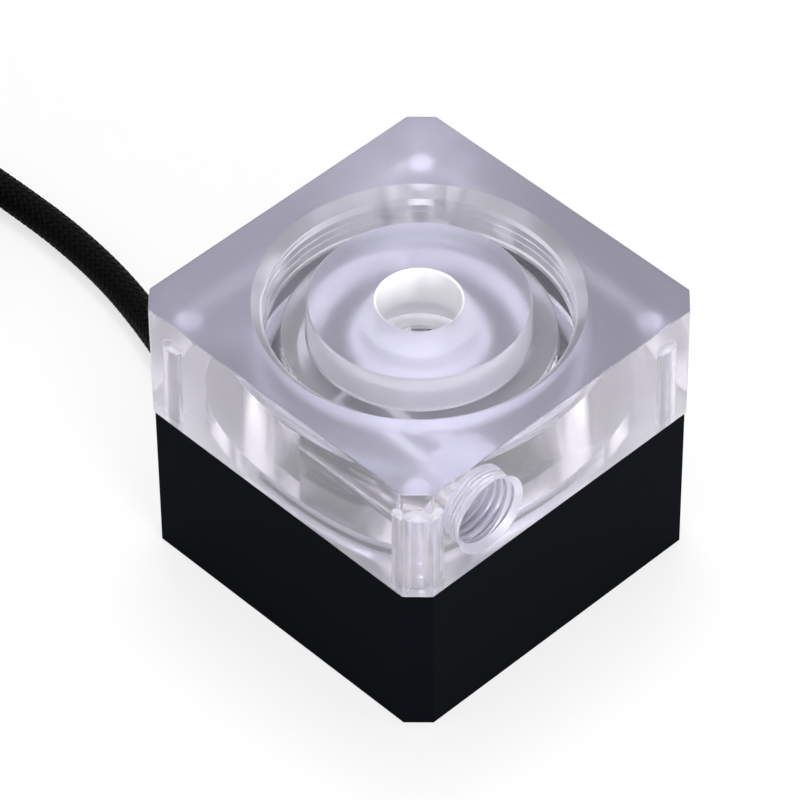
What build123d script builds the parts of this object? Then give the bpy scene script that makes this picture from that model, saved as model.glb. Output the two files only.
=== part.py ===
"""A 12 V liquid cooling pump with a clear top for a screw-on reservoir tube.

A black housing holds a wet-rotor motor of the spherical kind: the magnet turns on a ceramic ball,
inside a thin bowl, and the coils stand dry outside the bowl. The impeller sits on the magnet and
throws the coolant round a volute that is milled into the clear block above.

Millimetres, +Z up. The origin is the middle of the underside. +X is the side with the outlet port,
-X is the side that the cable leaves.
"""

import math
import os

from build123d import *

os.makedirs("parts", exist_ok=True)

# Outer form
side = 62.0  # across the flats of the clear block
corner = 3.3  # leg of the chamfer on each upright edge
shell_inset = 0.2  # the black shell stands this far inside the block
shell_height = 29.0
block_height = 22.4
edge_break = 0.25  # chamfer on the outer edges of the block and the shell
shell_side = side - 2 * shell_inset
joint_z = shell_height  # where the clear block sits on the shell
top_z = joint_z + block_height

# Clamp screws, M4 socket head, up from below into the clear block
screw_edge = 6.0  # from the block's sides to a screw's axis
screw_pitch = side - 2 * screw_edge
screw_radius = 2.0
screw_gap = 0.2  # radial clearance in the shell and the deck
tap_gap = 0.05  # thread clearance in the clear block
screw_grip = 10.1  # length of screw in the clear block
head_radius = 3.5
head_height = 4.0
head_gap = 0.3
tip_chamfer = 0.5
head_chamfer = 0.3
head_recess = 4.6  # depth of the counterbore
screw_length = joint_z - head_recess + screw_grip
hex_radius = 1.75
hex_depth = 2.2
blind_depth = 15.0  # tapped hole in the clear block
drill_point = 1.1  # height of the cone that the drill leaves

# Black shell
shell_floor = 3.0
ledge_width = 1.8
ledge_depth = 11.0
ledge_z = joint_z - ledge_depth  # the stator stands on this ledge, the top of the lower bay
ledge_wall = 2.0  # left above the cable pocket
rebate_depth = 1.0  # the deck lies flush in the top of the shell
rim_width = 0.5
deck_gap = 0.1

# Motor deck, a flange with a thin bowl for the rotor
centre_z = joint_z + 1.0  # middle of the ball, the bowl and the magnet
bowl_radius = 15.2
bowl_wall = 0.9
spigot_height = 1.8
skirt_wall = 1.9
spigot_chamfer = 0.3
skirt_gap = 0.1

# Seal between the deck and the clear block
recess_radius = 26.0
recess_depth = 2.0
ring_section = 0.95  # radius of the rubber
ring_space = 2.4  # from the spigot to the recess's wall
spigot_radius = recess_radius - ring_space

# Pump chamber in the clear block
chamber_height = 8.6
volute_swell = 0.714  # the radius grows by this in each quarter turn
port_y = -15.5
port_height = 9.1
port_z = joint_z + port_height
port_radius = 5.72  # tapping bore for the G1/4 thread
port_depth = 9.5
port_mouth = 6.9
passage_radius = 3.7

# Reservoir socket in the top
mouth_radius = 25.85
thread_radius = 24.2
mouth_chamfer = mouth_radius - thread_radius
groove_depth = 8.2
land_depth = 6.5
land_radius = 21.4
boss_radius = 17.4
inlet_radius = 6.65
inlet_depth = 7.0  # below this the bore opens out, over the impeller's eye
eye_bore_radius = 9.0

# Rotor
running_gap = 0.6  # liner to bowl
liner_wall = 0.3
magnet_radius = bowl_radius - running_gap - liner_wall
magnet_reach = 12.0  # from the ball down to the magnet's foot
magnet_foot = centre_z - magnet_reach
disc_gap = 0.4  # impeller disc above the deck
disc_thickness = 1.2
impeller_radius = 15.4
vane_count = 7
vane_thickness = 1.1
vane_wrap = 45  # degrees from root to tip
vane_lean = 30  # degrees that the root leans back
vane_root_step = 0.6  # the roots start this far inside the eye
nose_radius = 5.0
eye_radius = 7.0
shroud_gap = 0.6
shroud_thickness = 0.8
shroud_fall = 1.5  # the shroud drops this much from the eye to the rim
trim_margin = 1.0  # the cut above the vanes runs this far past them
sleeve_radius = 6.0
sleeve_reach = 10.0
sleeve_foot = centre_z - sleeve_reach
fit_gap = 0.04

# Bearing
ball_radius = 2.5
bearing_gap = 0.15
cup_radius = 4.0
cup_height = 4.4
cup_skirt = 0.6
post_radius = 1.7
seat_gap = 0.03

# Stator
stack_height = 7.0
yoke_width = 3.6
arm_width = 5.0
shoe_width = 9.4
hall_setback = 1.7  # middle of the sensor, behind the pole shoes
shoe_face = 11.6
shoe_thickness = 5.3
shoe_back = shoe_face + shoe_thickness
pole_count = 6
pole_gap = 0.3  # pole faces to the bowl
bobbin_wall = 0.6
bobbin_gap = 0.1
bobbin_length = 5.0
bobbin_end_gap = 0.27  # between a bobbin's outer flange and the yoke
flange_reach = 1.9
winding_depth = 1.0
coil_gap = 0.05
coil_round = 1.0

# Bays in the shell, from the stator outwards
bobbin_end = shoe_back + bobbin_gap + bobbin_length + bobbin_end_gap
yoke_inner = math.hypot(bobbin_end, arm_width / 2 + flange_reach)  # clears the flange's corners
yoke_outer = yoke_inner + yoke_width
seat_radius = yoke_outer + skirt_gap  # upper bay, round the stator
bay_radius = seat_radius - ledge_width  # lower bay, round the circuit board

# Circuit board and what stands on it
standoff_height = 3.6
board_thickness = 1.6
board_gap = 0.3
board_radius = bay_radius - board_gap
standoff_edge = 3.3  # from the board's edge to a boss's axis
standoff_circle = board_radius - standoff_edge
standoff_radius = 2.8
standoff_count = 3
standoff_angle = 30
board_screw_radius = 1.0
board_screw_head = 2.1
board_screw_head_height = 1.4
board_screw_grip = 3.0
board_screw_spare = 0.5  # the boss is drilled this much deeper than the screw
chip_pitch = 11.0
chip_length = 6.5
chip_width = 5.0
chip_height = 1.6
pad_side = 23.0
capacitor_count = 3
capacitor_radius = 3.15
capacitor_height = 5.4
capacitor_circle = 14.5
capacitor_angle = 90
edge_round = 0.5
hall_circle = shoe_back + hall_setback
hall_angle = -30
hall_width = 4.0
hall_depth = 1.5
hall_height = 3.0
hall_leg = 0.45
hall_leg_pitch = 1.27
hall_drop = 0.8  # its body starts this far below the stator

# Supply cable and its rubber grommet
cord_radius = 2.8
cable_y = -8.0
cable_z = 7.9
cord_gap = 0.1
bore_overrun = 1.0  # the cable's bore breaks this far into the pocket
wall_left = 2.8  # wall thickness behind the grommet
pocket_width = 12.4
grommet_neck = 3.7
grommet_flange = 4.8
grommet_nose = 3.6
grommet_flange_width = 1.2
grommet_nose_length = 6.0
lead_radius = 0.5
lead_pitch = 1.2
lead_rise = 1.3
lead_count = 4
lead_run = 3.5
lead_drop = 3.5
lead_bend = 1.5
cord_inside = 0.8  # the sleeve shows this far inside the grommet

# Put-away coil of the cable, its tie and its plug
coil_x = -124.0
coil_y = -30.4
coil_start_radius = 33.8
coil_pitch = 6.0
coil_turns = 1.25
tie_wall = 0.6
tie_width = 4.0
tie_angle = 20
tie_gap = 0.3
tail_radius = 28.5  # the last stretch lies on top of the turns
tail_from = 205
tail_to = 240
boot_length = 12.0
boot_start_radius = 3.1
boot_end_radius = 2.6
wire_radius = 0.75
wire_spread = 0.95
wire_straight = 3.0
wire_bend = 1.2
plug_angle = 300
plug_circle = 30.5
plug_length = 16.0
plug_width = 21.0
plug_height = 10.0
plug_round = 1.2
contact_count = 4
plug_pitch = 5.0
plug_rest = 0.1
socket_depth = 11.0
socket_radius = 1.6
contact_radius = 1.45
contact_bore = 1.1
contact_length = 10.0

# Heights that follow
bore_top = joint_z + recess_depth
chamber_top = bore_top + chamber_height
disc_z = joint_z + spigot_height + disc_gap
vane_z = disc_z + disc_thickness
shroud_top = chamber_top - shroud_gap
board_z = shell_floor + standoff_height
board_top = board_z + board_thickness
hall_leg_length = ledge_z - hall_drop - board_top
deck_z = joint_z - rebate_depth
stack_top = ledge_z + stack_height
rebate_side = shell_side - 2 * rim_width
rebate_corner = corner - rim_width * (2 - math.sqrt(2))
volute_radius = passage_radius - port_y - 3.5 * volute_swell  # just past the cutwater
volute_start = volute_swell / 2 - volute_radius
volute_end = -volute_radius - 3.5 * volute_swell
volute_centres = [
    (volute_swell / 2, volute_swell / 2),
    (-volute_swell / 2, volute_swell / 2),
    (-volute_swell / 2, -volute_swell / 2),
    (volute_swell / 2, -volute_swell / 2),
]
cup_foot = centre_z - cup_skirt
cup_top = cup_foot + cup_height
nose_top = vane_z + nose_radius
magnet_foot_radius = math.sqrt(magnet_radius**2 - (centre_z - magnet_foot) ** 2)
bobbin_width = arm_width + 2 * bobbin_gap
bobbin_tall = stack_height + 2 * bobbin_gap
coil_hole_width = bobbin_width + 2 * (bobbin_wall + coil_gap)
coil_hole_tall = bobbin_tall + 2 * (bobbin_wall + coil_gap)
wall_face = -shell_side / 2
lead_start = wall_face + wall_left + grommet_flange_width + cord_inside
lead_turn = lead_start + lead_run

# Planes and axes that pieces share
underside = Plane(origin=(0, 0, 0), x_dir=(1, 0, 0), z_dir=(0, 0, -1))
port_plane = Plane(origin=(side / 2, port_y, port_z), x_dir=(0, 1, 0), z_dir=(1, 0, 0))
cable_plane = Plane(origin=(wall_face, cable_y, cable_z), x_dir=(0, 1, 0), z_dir=(-1, 0, 0))
cable_axis = Axis((wall_face, cable_y, cable_z), (1, 0, 0))
hall_plane = Plane.XY.rotated((0, 0, hall_angle)).offset(board_top + hall_leg_length)
hall_plane = hall_plane.shift_origin(hall_plane.from_local_coords((hall_circle, 0, 0)))
arm_planes = []
for arm in range(pole_count):
    outward = Vector(1, 0, 0).rotate(Axis.Z, arm * 360 / pole_count)
    arm_start = outward * (shoe_back + bobbin_gap) + Vector(0, 0, ledge_z + stack_height / 2)
    arm_planes.append(Plane(origin=arm_start, x_dir=outward.rotate(Axis.Z, 90), z_dir=outward))

# Black shell, with a bored bay, a ledge for the stator and a rebate for the deck
with BuildPart() as base_shell:
    with BuildSketch() as shell_outline:
        Rectangle(shell_side, shell_side)
        chamfer(shell_outline.vertices(), corner)
    extrude(amount=shell_height)
    chamfer(base_shell.edges().group_by(Axis.Z)[0], edge_break)
    with BuildSketch(Plane.XY.offset(shell_floor)):
        Circle(bay_radius)
    extrude(amount=shell_height, mode=Mode.SUBTRACT)
    with BuildSketch(Plane.XY.offset(ledge_z)):
        Circle(seat_radius)
    extrude(amount=shell_height, mode=Mode.SUBTRACT)
    with BuildSketch(Plane.XY.offset(deck_z)) as rebate_outline:
        Rectangle(rebate_side, rebate_side)
        chamfer(rebate_outline.vertices(), rebate_corner)
    extrude(amount=shell_height, mode=Mode.SUBTRACT)
    # Flat-walled pocket inside the rear wall, so that the grommet can grip it
    with BuildSketch(Plane.XY.offset(shell_floor)):
        with Locations((-shell_side / 2 + wall_left, cable_y)):
            Rectangle(bay_radius / 2, pocket_width, align=(Align.MIN, Align.CENTER))
    extrude(amount=ledge_z - shell_floor - ledge_wall, mode=Mode.SUBTRACT)
    with Locations(cable_plane):
        Hole(grommet_neck + cord_gap, depth=wall_left + bore_overrun)
    # Bosses for the circuit board
    with BuildSketch(Plane.XY.offset(shell_floor)):
        with PolarLocations(standoff_circle, standoff_count, start_angle=standoff_angle):
            Circle(standoff_radius)
    extrude(amount=standoff_height)
    with Locations((0, 0, board_z)):
        with PolarLocations(standoff_circle, standoff_count, start_angle=standoff_angle):
            Hole(board_screw_radius + tap_gap, depth=board_screw_grip + board_screw_spare)
    # Clamp screws come up through counterbored holes
    with Locations(underside):
        with GridLocations(screw_pitch, screw_pitch, 2, 2):
            CounterBoreHole(screw_radius + screw_gap, head_radius + head_gap, head_recess)
base_shell.part.label = "base_shell"

# Rubber grommet that seals the cable into the rear wall
with BuildPart() as cable_grommet:
    with BuildSketch(Plane.XZ.offset(-cable_y)):
        with BuildLine():
            Polyline(
                (wall_face + wall_left + grommet_flange_width, cable_z + cord_radius + cord_gap),
                (wall_face + wall_left + grommet_flange_width, cable_z + grommet_flange),
                (wall_face + wall_left, cable_z + grommet_flange),
                (wall_face + wall_left, cable_z + grommet_neck),
                (wall_face, cable_z + grommet_neck),
                (wall_face, cable_z + grommet_flange),
                (wall_face - grommet_flange_width, cable_z + grommet_flange),
                (wall_face - grommet_nose_length, cable_z + grommet_nose),
                (wall_face - grommet_nose_length, cable_z + cord_radius + cord_gap),
                close=True,
            )
        make_face()
    revolve(axis=cable_axis)
cable_grommet.part.label = "cable_grommet"

# Motor deck, with the bowl that keeps the coolant off the coils
with BuildPart() as motor_deck:
    with BuildSketch(Plane.XY.offset(deck_z)) as deck_outline:
        Rectangle(rebate_side - 2 * deck_gap, rebate_side - 2 * deck_gap)
        chamfer(deck_outline.vertices(), rebate_corner)
    extrude(amount=rebate_depth)
    with BuildSketch(Plane.XY.offset(joint_z)):
        Circle(spigot_radius)
    extrude(amount=spigot_height)
    chamfer(motor_deck.edges().group_by(Axis.Z)[-1], spigot_chamfer)
    # Skirt that holds the stator down on its ledge
    with BuildSketch(Plane.XY.offset(stack_top)):
        Circle(yoke_outer)
        Circle(yoke_outer - skirt_wall, mode=Mode.SUBTRACT)
    extrude(amount=deck_z - stack_top)
    with BuildSketch(Plane.XZ):
        with BuildLine():
            Line((0, centre_z), (bowl_radius + bowl_wall, centre_z))
            RadiusArc(
                (bowl_radius + bowl_wall, centre_z),
                (0, centre_z - bowl_radius - bowl_wall),
                bowl_radius + bowl_wall,
            )
            Line((0, centre_z - bowl_radius - bowl_wall), (0, centre_z))
        make_face()
    revolve(axis=Axis.Z)
    with Locations((0, 0, centre_z)):
        Sphere(bowl_radius, mode=Mode.SUBTRACT)
        Cylinder(
            bowl_radius,
            spigot_height,
            align=(Align.CENTER, Align.CENTER, Align.MIN),
            mode=Mode.SUBTRACT,
        )
    with Locations((0, 0, joint_z)):
        with GridLocations(screw_pitch, screw_pitch, 2, 2):
            Hole(screw_radius + screw_gap, depth=rebate_depth)
motor_deck.part.label = "motor_deck"

# Clear block, with the pump chamber below and the reservoir socket above
with BuildPart() as top_block:
    with BuildSketch(Plane.XY.offset(joint_z)) as block_outline:
        Rectangle(side, side)
        chamfer(block_outline.vertices(), corner)
    extrude(amount=block_height)
    chamfer(top_block.edges().group_by(Axis.Z)[-1], edge_break)
    with BuildSketch(Plane.XY.offset(joint_z)):
        Circle(recess_radius)
    extrude(amount=recess_depth, mode=Mode.SUBTRACT)
    # Volute, four quarter arcs with centres on the corners of a small square
    with BuildSketch(Plane.XY.offset(bore_top)):
        with BuildLine():
            for quarter, (x, y) in enumerate(volute_centres):
                CenterArc((x, y), volute_radius + quarter * volute_swell, 90 * quarter - 90, 90)
            Line((volute_swell / 2, volute_start), (volute_swell / 2, volute_end))
        make_face()
    extrude(amount=chamber_height, mode=Mode.SUBTRACT)
    # Outlet, a tapped port and the passage from the volute
    with Locations(port_plane):
        CounterBoreHole(passage_radius, port_radius, port_depth, depth=side / 2)
    with BuildSketch(port_plane):
        Circle(port_mouth)
    extrude(amount=-(port_mouth - port_radius), taper=45, mode=Mode.SUBTRACT)
    # Reservoir socket: chamfered mouth, tapped wall, seal groove, land, boss and inlet
    with BuildSketch(Plane.XZ):
        with BuildLine():
            Polyline(
                (boss_radius, top_z),
                (boss_radius, top_z - land_depth),
                (land_radius, top_z - land_depth),
                (land_radius, top_z - groove_depth),
                (thread_radius, top_z - groove_depth),
                (thread_radius, top_z - mouth_chamfer),
                (mouth_radius, top_z),
                close=True,
            )
        make_face()
    revolve(axis=Axis.Z, mode=Mode.SUBTRACT)
    with Locations((0, 0, top_z)):
        Hole(inlet_radius, depth=top_z - chamber_top)
    with BuildSketch(Plane.XY.offset(chamber_top)):
        Circle(eye_bore_radius)
    extrude(amount=top_z - inlet_depth - chamber_top, mode=Mode.SUBTRACT)
    # Blind tapped holes for the clamp screws, with the drill's cone
    with BuildSketch(Plane.XY.offset(joint_z)):
        with GridLocations(screw_pitch, screw_pitch, 2, 2):
            Circle(screw_radius + tap_gap)
    extrude(amount=blind_depth - drill_point, mode=Mode.SUBTRACT)
    with GridLocations(screw_pitch, screw_pitch, 2, 2):
        with Locations((0, 0, joint_z + blind_depth - drill_point)):
            Cone(
                screw_radius + tap_gap,
                0,
                drill_point,
                align=(Align.CENTER, Align.CENTER, Align.MIN),
                mode=Mode.SUBTRACT,
            )
top_block.part.label = "top_block"

# Rubber ring between the deck's spigot and the recess
with BuildPart() as chamber_seal:
    with Locations((0, 0, joint_z + recess_depth / 2)):
        Torus((spigot_radius + recess_radius) / 2, ring_section)
chamber_seal.part.label = "chamber_seal"

# Four socket head screws
with BuildPart() as clamp_screws:
    with BuildSketch(Plane.XY.offset(head_recess)):
        with GridLocations(screw_pitch, screw_pitch, 2, 2):
            Circle(head_radius)
    extrude(amount=-head_height)
    with BuildSketch(Plane.XY.offset(head_recess)):
        with GridLocations(screw_pitch, screw_pitch, 2, 2):
            Circle(screw_radius)
    extrude(amount=screw_length)
    chamfer(clamp_screws.edges().group_by(Axis.Z)[-1], tip_chamfer)
    chamfer(clamp_screws.edges().filter_by(GeomType.CIRCLE).group_by(Axis.Z)[0], head_chamfer)
    with BuildSketch(Plane.XY.offset(head_recess - head_height)):
        with GridLocations(screw_pitch, screw_pitch, 2, 2):
            RegularPolygon(hex_radius, 6)
    extrude(amount=hex_depth, mode=Mode.SUBTRACT)
clamp_screws.part.label = "clamp_screws"

# Closed impeller: disc, backward curved vanes, falling shroud, and a sleeve into the magnet
with BuildSketch() as vane:
    with BuildLine():
        vane_root = PolarLine((0, 0), eye_radius - vane_root_step, angle=0, mode=Mode.PRIVATE) @ 1
        vane_tip = PolarLine((0, 0), impeller_radius, angle=-vane_wrap, mode=Mode.PRIVATE) @ 1
        TangentArc(vane_root, vane_tip, tangent=Vector(1, 0).rotate(Axis.Z, -vane_lean))
    trace(line_width=vane_thickness)
with BuildPart() as impeller:
    with BuildSketch(Plane.XY.offset(vane_z)):
        with PolarLocations(0, vane_count):
            add(vane.sketch)
        Circle(impeller_radius, mode=Mode.INTERSECT)
    extrude(amount=shroud_top - vane_z - shroud_thickness / 2)
    with BuildSketch(Plane.XZ):
        with BuildLine():
            Polyline(
                (eye_radius, shroud_top),
                (impeller_radius, shroud_top - shroud_fall),
                (impeller_radius + trim_margin, shroud_top - shroud_fall),
                (impeller_radius + trim_margin, shroud_top + trim_margin),
                (eye_radius, shroud_top + trim_margin),
                close=True,
            )
        make_face()
    revolve(axis=Axis.Z, mode=Mode.SUBTRACT)
    with BuildSketch(Plane.XZ):
        with BuildLine():
            Polyline(
                (eye_radius, shroud_top - shroud_thickness),
                (impeller_radius, shroud_top - shroud_fall - shroud_thickness),
                (impeller_radius, shroud_top - shroud_fall),
                (eye_radius, shroud_top),
                close=True,
            )
        make_face()
        with BuildLine():
            Polyline(
                (cup_radius + fit_gap, sleeve_foot),
                (sleeve_radius, sleeve_foot),
                (sleeve_radius, disc_z),
                (impeller_radius, disc_z),
                (impeller_radius, vane_z),
                (nose_radius, vane_z),
            )
            TangentArc((nose_radius, vane_z), (0, nose_top), tangent=(0, 1))
            Polyline(
                (0, nose_top),
                (0, cup_top + fit_gap),
                (cup_radius + fit_gap, cup_top + fit_gap),
                (cup_radius + fit_gap, sleeve_foot),
            )
        make_face()
    revolve(axis=Axis.Z)
impeller.part.label = "impeller"

# Ring magnet, a ball cut flat at the foot and at the impeller's disc
with BuildPart() as rotor_magnet:
    with Locations((0, 0, centre_z)):
        Sphere(magnet_radius)
    split(bisect_by=Plane.XY.offset(disc_z), keep=Keep.BOTTOM)
    split(bisect_by=Plane.XY.offset(magnet_foot), keep=Keep.TOP)
    with Locations((0, 0, disc_z)):
        Hole(sleeve_radius + fit_gap, depth=disc_z - magnet_foot)
rotor_magnet.part.label = "rotor_magnet"

# Stainless skin over the magnet
with BuildPart() as rotor_liner:
    with Locations((0, 0, centre_z)):
        Sphere(magnet_radius + liner_wall)
        Sphere(magnet_radius + fit_gap, mode=Mode.SUBTRACT)
    split(bisect_by=Plane.XY.offset(disc_z), keep=Keep.BOTTOM)
    split(bisect_by=Plane.XY.offset(magnet_foot), keep=Keep.TOP)
    with BuildSketch(Plane.XY.offset(magnet_foot)):
        Circle(magnet_foot_radius + liner_wall)
        Circle(sleeve_radius, mode=Mode.SUBTRACT)
    extrude(amount=-liner_wall)
rotor_liner.part.label = "rotor_liner"

# Bearing: a cup in the impeller rides on a ceramic ball, which a post carries
with BuildPart() as bearing_cup:
    with BuildSketch(Plane.XY.offset(cup_foot)):
        Circle(cup_radius)
    extrude(amount=cup_height)
    with Locations((0, 0, centre_z)):
        Sphere(ball_radius + bearing_gap, mode=Mode.SUBTRACT)
    with BuildSketch(Plane.XY.offset(cup_foot)):
        Circle(ball_radius + bearing_gap)
    extrude(amount=centre_z - cup_foot, mode=Mode.SUBTRACT)
bearing_cup.part.label = "bearing_cup"

with BuildPart() as bearing_ball:
    with Locations((0, 0, centre_z)):
        Sphere(ball_radius)
bearing_ball.part.label = "bearing_ball"

with BuildPart() as pivot_post:
    with BuildSketch(Plane.XY.offset(centre_z - bowl_radius)):
        Circle(post_radius)
    extrude(amount=bowl_radius - math.sqrt(ball_radius**2 - post_radius**2))
    with Locations((0, 0, centre_z)):
        Sphere(ball_radius + seat_gap, mode=Mode.SUBTRACT)
        Sphere(bowl_radius - seat_gap, mode=Mode.INTERSECT)
pivot_post.part.label = "pivot_post"

# Laminated stator with six poles that follow the bowl
with BuildPart() as stator_core:
    with BuildSketch(Plane.XY.offset(ledge_z)):
        Circle(yoke_outer)
        Circle(yoke_inner, mode=Mode.SUBTRACT)
        with PolarLocations(0, pole_count):
            with Locations((yoke_inner + yoke_width / 2, 0)):
                Rectangle(yoke_inner, arm_width, align=(Align.MAX, Align.CENTER))
            with Locations((shoe_back, 0)):
                Rectangle(shoe_back - shoe_face, shoe_width, align=(Align.MAX, Align.CENTER))
        Circle(shoe_face, mode=Mode.SUBTRACT)
    extrude(amount=stack_height)
    with Locations((0, 0, centre_z)):
        Sphere(bowl_radius + bowl_wall + pole_gap, mode=Mode.SUBTRACT)
stator_core.part.label = "stator_core"

# Six bobbins, each slid over a pole's arm, and the coils wound on them
with BuildPart() as coil_bobbins:
    for turn in range(pole_count):
        with BuildSketch(arm_planes[turn]):
            Rectangle(arm_width + 2 * flange_reach, stack_height + 2 * flange_reach)
        extrude(amount=bobbin_wall)
        with BuildSketch(arm_planes[turn].offset(bobbin_length - bobbin_wall)):
            Rectangle(arm_width + 2 * flange_reach, stack_height + 2 * flange_reach)
        extrude(amount=bobbin_wall)
        with BuildSketch(arm_planes[turn]):
            Rectangle(bobbin_width + 2 * bobbin_wall, bobbin_tall + 2 * bobbin_wall)
        extrude(amount=bobbin_length)
        with BuildSketch(arm_planes[turn]):
            Rectangle(bobbin_width, bobbin_tall)
        extrude(amount=bobbin_length, mode=Mode.SUBTRACT)
coil_bobbins.part.label = "coil_bobbins"

with BuildPart() as stator_coils:
    for turn in range(pole_count):
        with BuildSketch(arm_planes[turn].offset(bobbin_wall + coil_gap)):
            RectangleRounded(
                coil_hole_width + 2 * winding_depth, coil_hole_tall + 2 * winding_depth, coil_round
            )
            Rectangle(coil_hole_width, coil_hole_tall, mode=Mode.SUBTRACT)
        extrude(amount=bobbin_length - 2 * (bobbin_wall + coil_gap))
stator_coils.part.label = "stator_coils"

# Circuit board on three bosses
with BuildPart() as circuit_board:
    with BuildSketch(Plane.XY.offset(board_z)):
        Circle(board_radius)
        with PolarLocations(standoff_circle, standoff_count, start_angle=standoff_angle):
            Circle(board_screw_radius + screw_gap, mode=Mode.SUBTRACT)
    extrude(amount=board_thickness)
circuit_board.part.label = "circuit_board"

with BuildPart() as board_screws:
    with BuildSketch(Plane.XY.offset(board_top)):
        with PolarLocations(standoff_circle, standoff_count, start_angle=standoff_angle):
            Circle(board_screw_head)
    extrude(amount=board_screw_head_height)
    fillet(board_screws.edges().group_by(Axis.Z)[-1], edge_round)
    with BuildSketch(Plane.XY.offset(board_top)):
        with PolarLocations(standoff_circle, standoff_count, start_angle=standoff_angle):
            Circle(board_screw_radius)
    extrude(amount=-(board_thickness + board_screw_grip))
board_screws.part.label = "board_screws"

# Four driver chips under the board, on a pad that takes their heat to the shell
with BuildPart() as driver_chips:
    with BuildSketch(Plane.XY.offset(board_z)):
        with GridLocations(chip_pitch, chip_pitch, 2, 2):
            Rectangle(chip_length, chip_width)
    extrude(amount=-chip_height)
driver_chips.part.label = "driver_chips"

with BuildPart() as thermal_pad:
    with BuildSketch(Plane.XY.offset(shell_floor)):
        Rectangle(pad_side, pad_side)
    extrude(amount=standoff_height - chip_height)
thermal_pad.part.label = "thermal_pad"

with BuildPart() as capacitors:
    with BuildSketch(Plane.XY.offset(board_top)):
        with PolarLocations(capacitor_circle, capacitor_count, start_angle=capacitor_angle):
            Circle(capacitor_radius)
    extrude(amount=capacitor_height)
    fillet(capacitors.edges().group_by(Axis.Z)[-1], edge_round)
capacitors.part.label = "capacitors"

# Hall sensor that stands on its legs between two coils
with BuildPart() as hall_sensor:
    with BuildSketch(hall_plane):
        Rectangle(hall_depth, hall_width)
    extrude(amount=hall_height)
    with BuildSketch(hall_plane):
        with GridLocations(0, hall_leg_pitch, 1, 3):
            Rectangle(hall_leg, hall_leg)
    extrude(amount=-hall_leg_length)
hall_sensor.part.label = "hall_sensor"

# Leads from the cable's end down to the board
lead_paths = []
for number in range(lead_count):
    lead_y = cable_y + (number - (lead_count - 1) / 2) * lead_pitch
    with BuildLine() as lead_path:
        FilletPolyline(
            (lead_start, lead_y, cable_z + lead_rise),
            (lead_turn, lead_y, cable_z + lead_rise),
            (lead_turn + lead_drop, lead_y, board_top),
            radius=lead_bend,
        )
    lead_paths.append(lead_path.line)
with BuildPart() as internal_leads:
    for path in lead_paths:
        with BuildSketch(Plane(origin=path @ 0, z_dir=path % 0)):
            Circle(lead_radius)
        sweep(path=path)
    split(bisect_by=Plane.XY.offset(board_top), keep=Keep.TOP)
internal_leads.part.label = "internal_leads"

# Supply cable in its braided sleeve: out of the wall, down to the table and away
cord_route = [
    (lead_start, cable_y, cable_z),
    (-40.0, -8.0, 7.9),
    (-51.0, -5.4, 5.0),
    (-62.5, -0.9, 2.9),
    (-75.0, 2.1, 2.8),
    (-88.5, 3.5, 2.8),
    (-101.0, 3.4, 2.9),
    (-112.0, 2.7, 3.4),
]
cord_runs = [Vector(b) - Vector(a) for a, b in zip(cord_route, cord_route[1:])]
cord_radii = []
for before, after in zip(cord_runs, cord_runs[1:]):
    half_turn = math.radians(before.get_angle(after) / 2)
    cord_radii.append(0.45 * min(before.length, after.length) / math.tan(half_turn))
print("cord radii", [round(radius, 1) for radius in cord_radii])
with BuildPart() as supply_cable:
    with BuildLine() as cord_line:
        FilletPolyline(*cord_route, radius=cord_radii)
    with BuildSketch(Plane(origin=cord_line.line @ 0, z_dir=cord_line.line % 0)):
        Circle(cord_radius)
    sweep()
supply_cable.part.label = "supply_cable"
cord_length = cord_line.wire().length
cord_volume = math.pi * cord_radius**2 * cord_length
print("cord length", round(cord_length, 1), "volume", round(supply_cable.part.volume / cord_volume, 4))

# The put-away coil as one ring, with the end of the cable on top of it
coil_foot = tie_wall
coil_height = 2 * cord_radius
coil_end_radius = coil_start_radius - coil_pitch * coil_turns
coil_plane = Plane(origin=(coil_x, coil_y, coil_foot))
with BuildPart() as cable_coil:
    with BuildSketch(coil_plane):
        Circle(coil_start_radius + cord_radius)
        Circle(coil_end_radius - cord_radius, mode=Mode.SUBTRACT)
    extrude(amount=coil_height)
    with BuildSketch(coil_plane.offset(coil_height)):
        with BuildLine():
            tail_outer = CenterArc(
                (0, 0), tail_radius + cord_radius, tail_from, tail_to - tail_from
            )
            tail_inner = CenterArc(
                (0, 0), tail_radius - cord_radius, tail_from, tail_to - tail_from
            )
            Line(tail_outer @ 0, tail_inner @ 0)
            Line(tail_outer @ 1, tail_inner @ 1)
        make_face()
    extrude(amount=2 * cord_radius)
cable_coil.part.label = "cable_coil"

# Strap that holds the turns together
tie_plane = Plane(origin=(coil_x, coil_y, 0)).rotated((0, 0, tie_angle))
coil_middle = (coil_start_radius + coil_end_radius) / 2
coil_width = coil_start_radius - coil_end_radius + 2 * cord_radius
with BuildPart() as cable_tie:
    with BuildSketch(tie_plane):
        with Locations((coil_middle, 0)):
            Rectangle(coil_width + 2 * (tie_gap + tie_wall), tie_width)
    extrude(amount=coil_height + 2 * tie_wall + tie_gap)
    with BuildSketch(tie_plane.offset(tie_wall)):
        with Locations((coil_middle, 0)):
            Rectangle(coil_width + 2 * tie_gap, tie_width)
    extrude(amount=coil_height + tie_gap, mode=Mode.SUBTRACT)
cable_tie.part.label = "cable_tie"

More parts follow.
